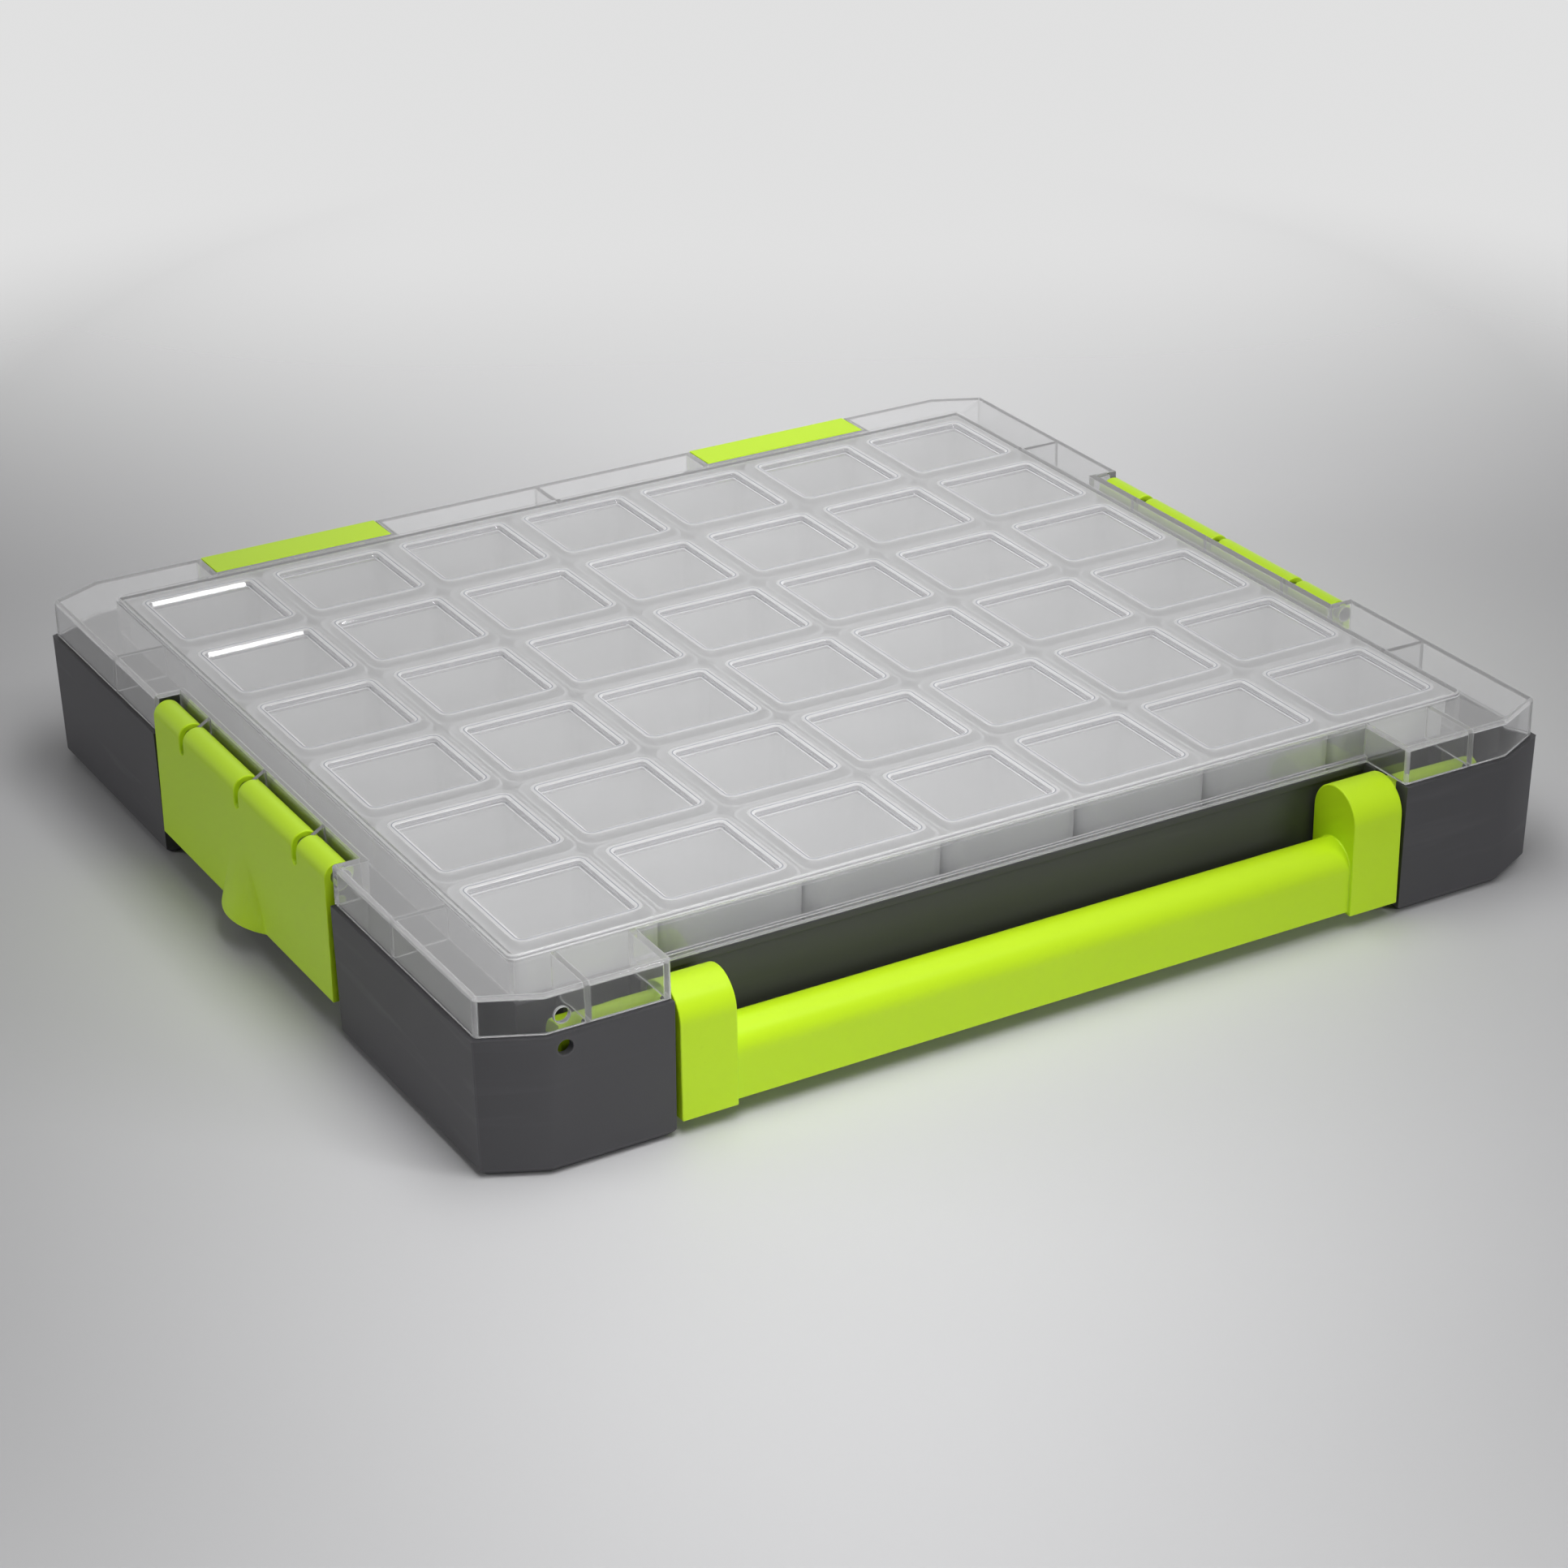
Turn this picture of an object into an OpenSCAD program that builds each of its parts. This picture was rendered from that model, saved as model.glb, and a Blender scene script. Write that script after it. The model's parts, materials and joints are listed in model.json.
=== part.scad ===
// Flat tackle case. A charcoal base holds a grid of removable cups, and a clear
// lid with one sunken pad over each cup closes it. The lid turns on two hinges
// at the back, two latches hang from rods in its sides, and a handle folds into
// a bay in the front. X runs to the right, Y to the back, Z up, in millimetres.
// The origin is the middle of the underside.

/* [Cups] */
// Cups from left to right
cup_cols = 7; // [4:1:8]
// Cups from front to back
cup_rows = 6; // [3:1:6]
// Outer width of a cup at its rim
cup_w = 50; // [40:0.5:60]
// Outer depth of a cup at its rim
cup_d = 51.4; // [42:0.2:60]
// Height of a cup
cup_h = 58.5; // [52:0.5:75]
// Gap between two cups
cup_gap = 0.6; // [0.4:0.1:1.5]
// Wall and floor of a cup
cup_wall = 1.2; // [0.8:0.1:2]
// Upright corner radius of a cup at its rim
cup_r = 6; // [4:0.5:10]
// How far each side of a cup leans in at its foot
cup_draft = 1.2; // [0.4:0.1:2.5]

/* [Base] */
// Height of the base, up to the line where it meets the lid
split_h = 47.5; // [44:0.5:52]
// Outer wall of the base
wall = 2.2; // [1.6:0.1:3]
// Floor of the base
floor_t = 2; // [1.5:0.1:4]
// Wall around the field of cups
tub_wall = 1.8; // [1.2:0.1:2.4]
// Side of the case to the field of cups
side_border = 22.6; // [21:0.2:32]
// Front of the case to the field of cups
front_border = 25.6; // [25:0.2:34]
// Back of the case to the field of cups
back_border = 25.8; // [24.4:0.2:36]
// Corner cut, measured along the front
corner_x = 20; // [10:0.5:28]
// Corner cut, measured along the side
corner_y = 9.6; // [6:0.2:16]
// How far the outer walls lean in at the foot
base_draft = 1; // [0.2:0.1:1.6]
// Bevel along the foot of the outer walls and round the foot of the bays
foot_bevel = 2.6; // [0.5:0.1:3]
// Radius of the seal hole in the front left corner
seal_hole_r = 2.5; // [1.5:0.1:3]
// Middle of the seal hole to the side of the case
seal_hole_x = 26; // [25:0.5:29]
// Seal hole in the base below the meeting line
seal_hole_drop = 4.8; // [4:0.1:6]
// Seal hole in the lid above the meeting line
seal_hole_rise = 5.4; // [4.5:0.1:7]

/* [Lid] */
// Thickness of the clear sheet and walls
lid_t = 2; // [1.4:0.1:2.6]
// How far the lid stands in from the base all round
lid_inset = 1.4; // [0.6:0.1:2]
// Gap between lid and base at the meeting line
lid_gap = 0.3; // [0.2:0.1:0.8]
// Gap between the cups' rims and the lid
rim_gap = 0.5; // [0.3:0.1:1.5]
// Height of the raised field above its border
field_rise = 1.5; // [0.6:0.1:1.9]
// Raised field past the cups, at the sides
field_side = 1.8; // [1:0.1:4]
// Raised field past the cups, at the front
field_front = 1; // [0.4:0.1:1.6]
// Raised field past the cups, at the back
field_back = 3.6; // [1:0.1:4]
// Corner radius of the raised field
field_r = 3; // [1:0.5:8]
// Width of a sunken pad at its rim
pad_w = 40; // [30:0.5:44]
// Depth of a sunken pad at its rim, front to back
pad_d = 38; // [30:0.5:44]
// How far a pad is sunk
pad_sink = 2; // [1:0.1:2.6]
// Corner radius of a pad at its rim
pad_r = 2; // [2:0.1:6]
// How far each side of a pad leans in at its floor
pad_draft = 1.4; // [0.5:0.1:1.8]
// Thickness of the webs under the border
web_t = 1.8; // [1.2:0.1:3]
// Middle of the case to the side webs
web_y = 114; // [100:1:130]
// How far the lip under the front wall stands out
lip_out = 1.5; // [0.5:0.1:2]
// Height of that lip
lip_h = 2.4; // [1:0.1:4]

/* [Latches] */
// Length of a latch along the side
latch_l = 142; // [120:1:160]
// Middle of the latches, behind the middle of the case
latch_y = 2; // [-6:0.5:6]
// Depth of the bay that a latch sits in
latch_bay = 11; // [10.6:0.1:12.5]
// Bay in front of the latch, for the swing of a lid with shut latches
latch_gap_front = 3.4; // [3.2:0.1:5]
// Bay behind the latch
latch_gap_back = 2; // [1:0.1:4]
// Plate thickness
latch_t = 3; // [2:0.1:3.6]
// Outer radius of the barrel on top
barrel_r = 4.9; // [4.4:0.1:5]
// Radius of the lid's rods
rod_r = 2.5; // [2:0.1:3]
// Running clearance of a latch on its rod
rod_clear = 0.06; // [0.02:0.01:0.1]
// Top of the barrel below the lid's border
barrel_drop = 1.6; // [1:0.1:3]
// Spacing of the slots in the barrel
slot_pitch = 47; // [38:1:52]
// Width of a slot
slot_w = 3.4; // [2.6:0.1:5]
// Slot floor below the rod
slot_deep = 5; // [4:0.1:8]
// Latch foot above the ground
latch_foot = 11; // [8:0.5:16]
// Width of the finger scoop at the foot
scoop_w = 36; // [26:1:48]
// How far the scoop stands out
scoop_out = 6; // [4:0.2:9]
// Height of the scoop
scoop_h = 23.5; // [16:0.5:28]

/* [Handle] */
// Width of the bay in the front
bay_w = 275; // [220:1:290]
// Depth of that bay
bay_d = 23.4; // [23:0.1:24]
// How far the rim on top of the bay's wall stands out
bay_rim_out = 0.8; // [0.4:0.1:1.2]
// Height of that rim
bay_rim_h = 2.6; // [1.5:0.1:4]
// Gap from the bay's ends to the arms
arm_gap = 1.6; // [0.6:0.1:3]
// Width of an arm
arm_w = 19.6; // [14:0.2:26]
// Depth of an arm, front to back
arm_d = 22; // [20:0.2:22.4]
// Arm foot above the ground
arm_foot = 5.3; // [3:0.1:9]
// Arm top above the meeting line
arm_rise = 1.5; // [0:0.1:2.4]
// Depth of the bar
bar_d = 18; // [14:0.2:20]
// Height of the bar
bar_h = 24; // [20:0.5:26]
// How far the bar stands in from the arms, at the front and the foot
bar_in = 1.2; // [0.4:0.1:2]
// Radius of the pivots at the ends of the arms
pivot_r = 6; // [4:0.1:6.4]
// Running clearance of a pivot in its seat
pivot_clear = 0.08; // [0.02:0.01:0.1]
// Reach of a pivot past the bay's end
pivot_l = 35; // [32:0.5:38]
// Wall above the pivot, up to the meeting line
pivot_cover = 1.5; // [1:0.1:3]
// Front of the case to the pivot's axis
pivot_y = 12; // [11.4:0.1:12.4]
// Bay's end to the web that carries the pivot's tip
pivot_web = 27.5; // [20:0.5:30]

/* [Hinges] */
// Middle of the case to the middle of a hinge
hinge_x = 103; // [70:1:130]
// Width of a hinge
hinge_w = 70; // [56:1:84]
// Gap around a hinge in the lid
hinge_gap = 0.3; // [0.2:0.1:0.8]
// Depth of a hinge's top plate
hinge_d = 15.6; // [14:0.2:17]
// Plate thickness
hinge_t = 2.8; // [2:0.1:3.4]
// Outer radius of the knuckles
knuckle_r = 3.8; // [3.2:0.1:4.4]
// Length of a knuckle
knuckle_l = 18; // [12:0.5:22]
// Gap between knuckles and lugs
knuckle_gap = 0.5; // [0.3:0.1:1]
// Radius of a hinge pin
pin_r = 1.5; // [1:0.1:1.8]
// Running clearance of a knuckle on its pin
pin_clear = 0.06; // [0.02:0.01:0.1]
// Pin axis behind the back of the case
pin_out = 0.8; // [0.6:0.1:1.4]

/* [Hidden] */
$fn = 48;
eps = 1;
seam = 0.2;
slice = 0.01;

// Field of cups and the case around it
pitch_x = cup_w + cup_gap;
pitch_y = cup_d + cup_gap;
tub_w = cup_cols * pitch_x + cup_gap;
tub_d = cup_rows * pitch_y + cup_gap;
case_w = tub_w + 2 * side_border;
case_d = tub_d + front_border + back_border;
side = case_w / 2;
front = -case_d / 2;
back = case_d / 2;
tub_front = front + front_border;
tub_back = back - back_border;
tub_mid = (tub_front + tub_back) / 2;

// Heights of the lid
rim_z = floor_t + cup_h;
field_top = rim_z + rim_gap + lid_t;
border_top = field_top - field_rise;
skirt_z = split_h + lid_gap;
pad_under = field_top - pad_sink - lid_t;
field_w = tub_w + 2 * field_side;
field_d = tub_d + field_front + field_back;
field_y = tub_mid + (field_back - field_front) / 2;

// Latches and their rods
bay_front = latch_y - latch_l / 2 - latch_gap_front;
bay_back = latch_y + latch_l / 2 + latch_gap_back;
rod_x = side - barrel_r;
rod_z = border_top - barrel_drop - barrel_r;
slot_ys = [for (i = [-1:1]) latch_y + i * slot_pitch];
latch_rim = 2.4;
rim_room = 3;
latch_rim_in = latch_bay - rim_room;
catch_up = 6;
catch_in = 14;
catch_h = 2.5;
catch_gap = 0.4;
catch_z = latch_foot + catch_up;
catch_l = latch_l - 2 * catch_in;
bead_h = 2.4;
bead_in = latch_t + 2;
scoop_r = (pow(scoop_w / 2, 2) + pow(scoop_out, 2)) / (2 * scoop_out);
scoop_lean = atan(scoop_out / scoop_h);
scoop_wall = 2;

// Handle
arm_x = bay_w / 2 - arm_gap;
arm_top = split_h + arm_rise;
arm_r = arm_d / 2;
pivot_axis_y = front + pivot_y;
pivot_z = split_h - pivot_cover - pivot_r;
pivot_end = bay_w / 2 + pivot_l;
pivot_web_x = bay_w / 2 + pivot_web;
mouth_ratio = 1.84;
pivot_mouth = mouth_ratio * pivot_r;
bar_foot = arm_foot + bar_in;

// Hinges
pin_y = back + pin_out;
pin_z = split_h;
hinge_back = back - lid_inset;
hinge_front = hinge_back - hinge_d;
clip_back = 5.5;
clip_drop = 7.5;
clip_y = hinge_front + clip_back;
clip_z = border_top - clip_drop;
clip_r = 2.5;
clip_clear = 0.05;
clip_wall = 2.2;
knuckle_shift = 2;
knuckle_x = hinge_w / 4 + knuckle_shift;
lug_l = knuckle_x - knuckle_l / 2 - knuckle_gap;
end_lug = hinge_w / 2 - knuckle_x - knuckle_l / 2 - knuckle_gap;
knuckle_room = 0.4;
boss_d = 7;
boss_h = 11;

function cup_name(row, col) = str("cup_r", row, "_c", col);

charcoal = [0.27, 0.27, 0.285];
lime = [0.70, 0.84, 0.20];
clear = [0.88, 0.90, 0.90, 0.45];
milky = [0.93, 0.94, 0.94, 0.7];
steel = [0.72, 0.73, 0.75];

// Rectangle with all four corners cut off by cx along the front and cy along the side.
function cut_corners(w, d, cx, cy) = [
    [-w / 2 + cx, -d / 2], [w / 2 - cx, -d / 2],
    [w / 2, -d / 2 + cy], [w / 2, d / 2 - cy],
    [w / 2 - cx, d / 2], [-w / 2 + cx, d / 2],
    [-w / 2, d / 2 - cy], [-w / 2, -d / 2 + cy]];

// A corner cut after its outline has moved in by t on every side.
function moved_cut(cut, other, t) = cut - t + t * (norm([cut, other]) - cut) / other;

// Its children on the left, and their mirror image on the right.
module both_sides() {
    children();
    mirror([1, 0, 0]) children();
}

// Outline of the case, moved in by t.
module case_plan(t) {
    polygon(cut_corners(case_w - 2 * t, case_d - 2 * t,
        moved_cut(corner_x, corner_y, t), moved_cut(corner_y, corner_x, t)));
}

// Bays for the latches and the handle, grown by t into the case.
module bays(t) {
    both_sides()
        translate([-side - eps, bay_front - t])
            square([latch_bay + t + eps, bay_back - bay_front + 2 * t]);
    translate([-bay_w / 2 - t, front - eps])
        square([bay_w + 2 * t, bay_d + t + eps]);
}

// Bays for the hinges in the lid's border, grown by t.
module hinge_bays(t) {
    both_sides()
        translate([-hinge_x - hinge_w / 2 - hinge_gap - t, hinge_front - hinge_gap - t])
            square([hinge_w + 2 * hinge_gap + 2 * t, hinge_d + back_border + t]);
}

module rounded_plan(w, d, r) {
    square([w - 2 * r, d], center = true);
    square([w, d - 2 * r], center = true);
    for (x = [-1, 1]) for (y = [-1, 1])
        translate([x * (w / 2 - r), y * (d / 2 - r)]) circle(r);
}

// Box with round upright corners that leans in by lean on each side at its foot.
module drafted_box(w, d, h, r, lean) {
    translate([0, d / 2 - r, 0]) rotate([90, 0, 0])
        linear_extrude(d - 2 * r)
            polygon([[-w / 2 + lean, 0], [w / 2 - lean, 0], [w / 2, h], [-w / 2, h]]);
    translate([-w / 2 + r, 0, 0]) rotate([90, 0, 90])
        linear_extrude(w - 2 * r)
            polygon([[-d / 2 + lean, 0], [d / 2 - lean, 0], [d / 2, h], [-d / 2, h]]);
    for (x = [-1, 1]) for (y = [-1, 1])
        translate([x * (w / 2 - r), y * (d / 2 - r), 0])
            cylinder(h = h, r1 = r - lean, r2 = r);
}

// Places its children at each cup's middle.
module at_cups() {
    for (row = [1:cup_rows]) for (col = [1:cup_cols])
        translate([cup_x(col), cup_y(row), 0]) children();
}
function cup_x(col) = (col - (cup_cols + 1) / 2) * pitch_x;
function cup_y(row) = tub_mid + (row - (cup_rows + 1) / 2) * pitch_y;

// Rod along Y or along X, by its two ends.
module rod_y(x, y0, y1, z, r) {
    translate([x, y0, z]) rotate([-90, 0, 0]) cylinder(h = y1 - y0, r = r);
}
module rod_along_x(x0, x1, y, z, r) {
    translate([x0, y, z]) rotate([0, 90, 0]) cylinder(h = x1 - x0, r = r);
}

// Base: drafted outer shell with its bays, the tub for the cups and the hollow
// sides around it, the seats of the handle and the lugs of the hinges.
module base_block() {
    hull() {
        linear_extrude(slice) case_plan(base_draft + foot_bevel);
        translate([0, 0, foot_bevel]) linear_extrude(slice) case_plan(base_draft);
        translate([0, 0, split_h - slice]) linear_extrude(slice) case_plan(0);
    }
}

// Widens the foot of a bay from x0 to x1 and y0 to y1 by the bevel.
module bay_foot(x0, x1, y0, y1) {
    grown = foot_bevel + eps;
    intersection() {
        translate([0, y1 + grown, 0]) rotate([90, 0, 0]) linear_extrude(y1 - y0 + 2 * grown)
            polygon([[x0 - grown, -eps], [x1 + grown, -eps], [x1, foot_bevel], [x0, foot_bevel]]);
        translate([x0 - grown, 0, 0]) rotate([90, 0, 90]) linear_extrude(x1 - x0 + 2 * grown)
            polygon([[y0 - grown, -eps], [y1 + grown, -eps], [y1, foot_bevel], [y0, foot_bevel]]);
    }
}

module bay_feet() {
    both_sides() bay_foot(-side, -side + latch_bay, bay_front, bay_back);
    bay_foot(-bay_w / 2, bay_w / 2, front, front + bay_d);
}

// Rim along the top of the wall behind the handle.
module bay_rim() {
    translate([-bay_w / 2 - seam, front + bay_d - bay_rim_out, split_h - bay_rim_h])
        cube([bay_w + 2 * seam, bay_rim_out + seam, bay_rim_h]);
}

module hollow_sides() {
    difference() {
        case_plan(base_draft + wall);
        bays(wall);
        translate([0, tub_mid]) square([tub_w + 2 * tub_wall, tub_d + 2 * tub_wall], center = true);
    }
}

// Snap seat for a pivot: a round seat with a narrower mouth above it.
module pivot_seats() {
    seat_l = pivot_l + 2 * eps;
    both_sides() {
        rod_along_x(-pivot_end - eps, -pivot_end - eps + seat_l, pivot_axis_y, pivot_z,
            pivot_r + pivot_clear);
        translate([-pivot_end - eps, pivot_axis_y - pivot_mouth / 2, pivot_z])
            cube([seat_l, pivot_mouth, split_h - pivot_z + eps]);
    }
}

module pivot_webs() {
    both_sides()
        translate([-pivot_web_x - web_t / 2, front + base_draft + wall - seam, floor_t - seam])
            cube([web_t, bay_d - base_draft, split_h - floor_t + seam]);
}

// Solid bar behind the back wall that the lugs grow from.
module hinge_bosses() {
    both_sides()
        translate([-hinge_x - hinge_w / 2, back - base_draft - boss_d, split_h - boss_h])
            cube([hinge_w, boss_d, boss_h]);
}

module knuckle_rooms() {
    room_l = knuckle_l + 2 * knuckle_gap;
    both_sides() for (k = [-1, 1])
        rod_along_x(-hinge_x + k * knuckle_x - room_l / 2, -hinge_x + k * knuckle_x + room_l / 2,
            pin_y, pin_z, knuckle_r + knuckle_room);
}

// Lug across x0 to x1: a round eye on a gusset that runs down to the back wall.
module lug(x0, x1) {
    boss_front = back - base_draft - boss_d + seam;
    rod_along_x(x0, x1, pin_y, pin_z, knuckle_r);
    translate([x0, 0, 0]) rotate([90, 0, 90]) linear_extrude(x1 - x0)
        polygon([[pin_y + knuckle_r, pin_z], [pin_y + knuckle_r, pin_z - knuckle_r / 2],
            [back - base_draft, pin_z - boss_h], [boss_front, pin_z - boss_h], [boss_front, pin_z]]);
}

module lugs() {
    both_sides() translate([-hinge_x, 0, 0]) {
        lug(-lug_l, lug_l);
        lug(-hinge_w / 2, -hinge_w / 2 + end_lug);
        lug(hinge_w / 2 - end_lug, hinge_w / 2);
    }
}

// Rail in each latch bay that the latch's bead stands under.
module latch_catches() {
    both_sides()
        translate([-side + bead_in + catch_gap, latch_y - catch_l / 2, catch_z])
            cube([latch_bay - bead_in - catch_gap + seam, catch_l, catch_h]);
}

module base_shell() {
    color(charcoal)
        difference() {
            union() {
                difference() {
                    base_block();
                    translate([0, 0, -eps]) linear_extrude(split_h + 2 * eps) bays(0);
                    bay_feet();
                    translate([0, 0, floor_t]) linear_extrude(split_h) hollow_sides();
                    translate([-tub_w / 2, tub_front, floor_t]) cube([tub_w, tub_d, split_h]);
                }
                pivot_webs();
                bay_rim();
                latch_catches();
                hinge_bosses();
                lugs();
            }
            pivot_seats();
            knuckle_rooms();
            both_sides() rod_along_x(-hinge_x - hinge_w, -hinge_x + hinge_w, pin_y, pin_z, pin_r);
            rod_y(-side + seal_hole_x, front - eps, front + base_draft + wall + eps,
                split_h - seal_hole_drop, seal_hole_r);
        }
}

// Lid: border and skirt, the raised field with one sunken pad over each cup,
// webs under the border, rods for the latches and the hinges.
module lid_plan(t, grow) {
    difference() {
        case_plan(t);
        bays(grow);
        hinge_bays(grow);
    }
}

module skirt() {
    translate([0, 0, skirt_z]) linear_extrude(border_top - skirt_z)
        difference() {
            lid_plan(lid_inset, 0);
            lid_plan(lid_inset + lid_t, lid_t);
        }
}

module field_plan() {
    translate([0, field_y]) rounded_plan(field_w, field_d, field_r);
}

module sheet() {
    difference() {
        union() {
            translate([0, 0, border_top - lid_t]) linear_extrude(lid_t) lid_plan(lid_inset, 0);
            translate([0, 0, border_top - seam]) linear_extrude(field_rise + seam) field_plan();
        }
        translate([-tub_w / 2, tub_front, border_top - lid_t - eps])
            cube([tub_w, tub_d, field_rise + eps]);
    }
}

module pad_backs() {
    translate([0, 0, pad_under]) linear_extrude(pad_sink + lid_t / 2)
        at_cups() rounded_plan(pad_w, pad_d, pad_r);
}

module pad_pockets() {
    slope = pad_draft / pad_sink;
    at_cups()
        translate([0, 0, field_top - pad_sink])
            drafted_box(pad_w + 2 * slope * seam, pad_d + 2 * slope * seam, pad_sink + seam,
                pad_r + slope * seam, pad_draft + slope * seam);
}

// Webs under the border: two along each side, one over each pivot, one at the back.
module border_webs() {
    web_h = border_top - skirt_z;
    both_sides() {
        for (y = [-web_y, web_y])
            translate([-side + lid_inset, y - web_t / 2, skirt_z])
                cube([side_border - field_side - lid_inset, web_t, web_h]);
        translate([-pivot_web_x - web_t / 2, front + lid_inset, skirt_z])
            cube([web_t, bay_d, web_h]);
    }
    translate([-web_t / 2, tub_back + field_back, skirt_z])
        cube([web_t, back_border - field_back - lid_inset, web_h]);
}

// Walls that hang from the edge of the raised field, outside the cups.
module field_walls() {
    wall_h = border_top - skirt_z;
    both_sides()
        translate([-field_w / 2, tub_front, skirt_z])
            cube([field_side, tub_d + field_back, wall_h]);
    translate([-field_w / 2, tub_back + field_back - field_side, skirt_z])
        cube([field_w, field_side, wall_h]);
}

// Rod across each latch bay, with a sloping web to the bay's wall in each slot.
module latch_rods() {
    both_sides() {
        rod_y(-rod_x, bay_front - lid_t / 2, bay_back + lid_t / 2, rod_z, rod_r);
        for (y = slot_ys)
            translate([0, y + web_t / 2, 0]) rotate([90, 0, 0]) linear_extrude(web_t)
                polygon([[-rod_x, rod_z - rod_r], [-side + latch_bay + seam, rod_z - 2 * rod_r],
                    [-side + latch_bay + seam, border_top - seam], [-rod_x, rod_z + rod_r]]);
    }
}

module hinge_rods() {
    rod_l = hinge_w + 2 * hinge_gap + lid_t;
    both_sides()
        rod_along_x(-hinge_x - rod_l / 2, -hinge_x + rod_l / 2, clip_y, clip_z, clip_r);
}

module front_lip() {
    translate([-bay_w / 2, front + bay_d - lip_out, skirt_z])
        cube([bay_w, lip_out + seam, lip_h]);
}

module lid() {
    color(clear)
        difference() {
            union() {
                skirt();
                sheet();
                pad_backs();
                border_webs();
                field_walls();
                latch_rods();
                hinge_rods();
                front_lip();
            }
            pad_pockets();
            rod_y(-side + seal_hole_x, front - eps, front + lid_inset + lid_t + eps,
                split_h + seal_hole_rise, seal_hole_r);
        }
}

// Latch for the left side: a plate under a barrel in four lengths, with rims at
// its ends, a bead behind its foot and a scoop for the finger.
module latch_plate() {
    translate([-side, latch_y - latch_l / 2, latch_foot])
        cube([latch_t, latch_l, rod_z - latch_foot]);
    for (y = [-1, 1])
        translate([-side, latch_y + y * (latch_l - latch_rim) / 2 - latch_rim / 2, latch_foot])
            cube([latch_rim_in, latch_rim, rod_z - latch_foot - barrel_r - latch_rim]);
    translate([-side, latch_y - catch_l / 2 - latch_rim, latch_foot])
        cube([bead_in, catch_l + 2 * latch_rim, bead_h]);
    rod_y(-rod_x, latch_y - latch_l / 2, latch_y + latch_l / 2, rod_z, barrel_r);
}

module barrel_slots() {
    for (y = slot_ys)
        translate([-side - eps, y, rod_z - slot_deep + slot_w / 2])
            rotate([90, 0, 90]) linear_extrude(2 * barrel_r + 2 * eps) {
                circle(slot_w / 2);
                translate([-slot_w / 2, 0]) square([slot_w, slot_deep + 2 * barrel_r]);
            }
}

// Leaning tube for the scoop. Its outer line meets the plate's face at the top.
module scoop_tube(r, out) {
    translate([-side, latch_y, latch_foot + scoop_h]) rotate([0, scoop_lean, 0])
        translate([r - out, 0, -2 * scoop_h]) cylinder(h = 3 * scoop_h, r = r, $fn = 96);
}

module scoop_space(in) {
    translate([-side - scoop_out - eps, latch_y - scoop_w, latch_foot])
        cube([scoop_out + eps + in, 2 * scoop_w, scoop_h]);
}

module latch() {
    difference() {
        union() {
            latch_plate();
            intersection() {
                scoop_tube(scoop_r, 0);
                scoop_space(latch_t);
            }
        }
        rod_y(-rod_x, latch_y - latch_l, latch_y + latch_l, rod_z, rod_r + rod_clear);
        barrel_slots();
        intersection() {
            scoop_tube(scoop_r - scoop_wall, -scoop_wall);
            translate([0, 0, -eps]) scoop_space(latch_t + bead_in);
        }
    }
}

module latch_left() {
    color(lime) latch();
}

module latch_right() {
    color(lime) mirror([1, 0, 0]) latch();
}

// Handle: two arms with round heads, the bar between their feet and a pivot on
// the outer side of each arm.
module arm_profile() {
    translate([front + arm_r, arm_top - arm_r]) circle(arm_r);
    translate([front, arm_foot]) square([arm_d, arm_top - arm_r - arm_foot]);
}

module bar_profile() {
    translate([front + bar_in + bar_d / 2, bar_foot + bar_h - bar_d / 2]) circle(bar_d / 2);
    translate([front + bar_in, bar_foot]) square([bar_d, bar_h - bar_d / 2]);
}

module handle() {
    color(lime) {
        both_sides() {
            translate([-arm_x, 0, 0])
                rotate([90, 0, 90]) linear_extrude(arm_w) arm_profile();
            rod_along_x(-pivot_end, -arm_x + seam, pivot_axis_y, pivot_z, pivot_r);
        }
        translate([-arm_x + arm_w - seam, 0, 0])
            rotate([90, 0, 90]) linear_extrude(2 * (arm_x - arm_w + seam)) bar_profile();
    }
}

// Hinge at x: a plate flush with the lid's border, a leaf down the back, three
// clips on the lid's rod and two knuckles on the pin.
module hinge_leaf_profile() {
    translate([hinge_front, border_top - hinge_t]) square([hinge_d, hinge_t]);
    translate([hinge_back - hinge_t, pin_z + knuckle_r + knuckle_gap])
        square([hinge_t, border_top - pin_z - knuckle_r - knuckle_gap]);
}

module clip_profile() {
    difference() {
        union() {
            translate([clip_y, clip_z]) circle(clip_r + clip_wall);
            translate([clip_y - clip_r - clip_wall, clip_z])
                square([2 * (clip_r + clip_wall), border_top - clip_z - hinge_t / 2]);
        }
        translate([clip_y, clip_z]) circle(clip_r + clip_clear);
    }
}

module hinge(x) {
    translate([x, 0, 0])
        difference() {
            union() {
                translate([-hinge_w / 2, 0, 0]) rotate([90, 0, 90])
                    linear_extrude(hinge_w) hinge_leaf_profile();
                for (k = [-1, 1]) {
                    rod_along_x(k * knuckle_x - knuckle_l / 2, k * knuckle_x + knuckle_l / 2,
                        pin_y, pin_z, knuckle_r);
                    translate([k * knuckle_x - knuckle_l / 2, pin_y - knuckle_r, pin_z])
                        cube([knuckle_l, knuckle_r, knuckle_r + knuckle_gap + hinge_t]);
                }
                for (k = [-1:1])
                    translate([k * hinge_w / 3 - clip_wall / 2, 0, 0]) rotate([90, 0, 90])
                        linear_extrude(clip_wall) clip_profile();
            }
            rod_along_x(-hinge_w, hinge_w, pin_y, pin_z, pin_r + pin_clear);
        }
}

module hinge_left() {
    color(lime) hinge(-hinge_x);
}

module hinge_right() {
    color(lime) hinge(hinge_x);
}

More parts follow.
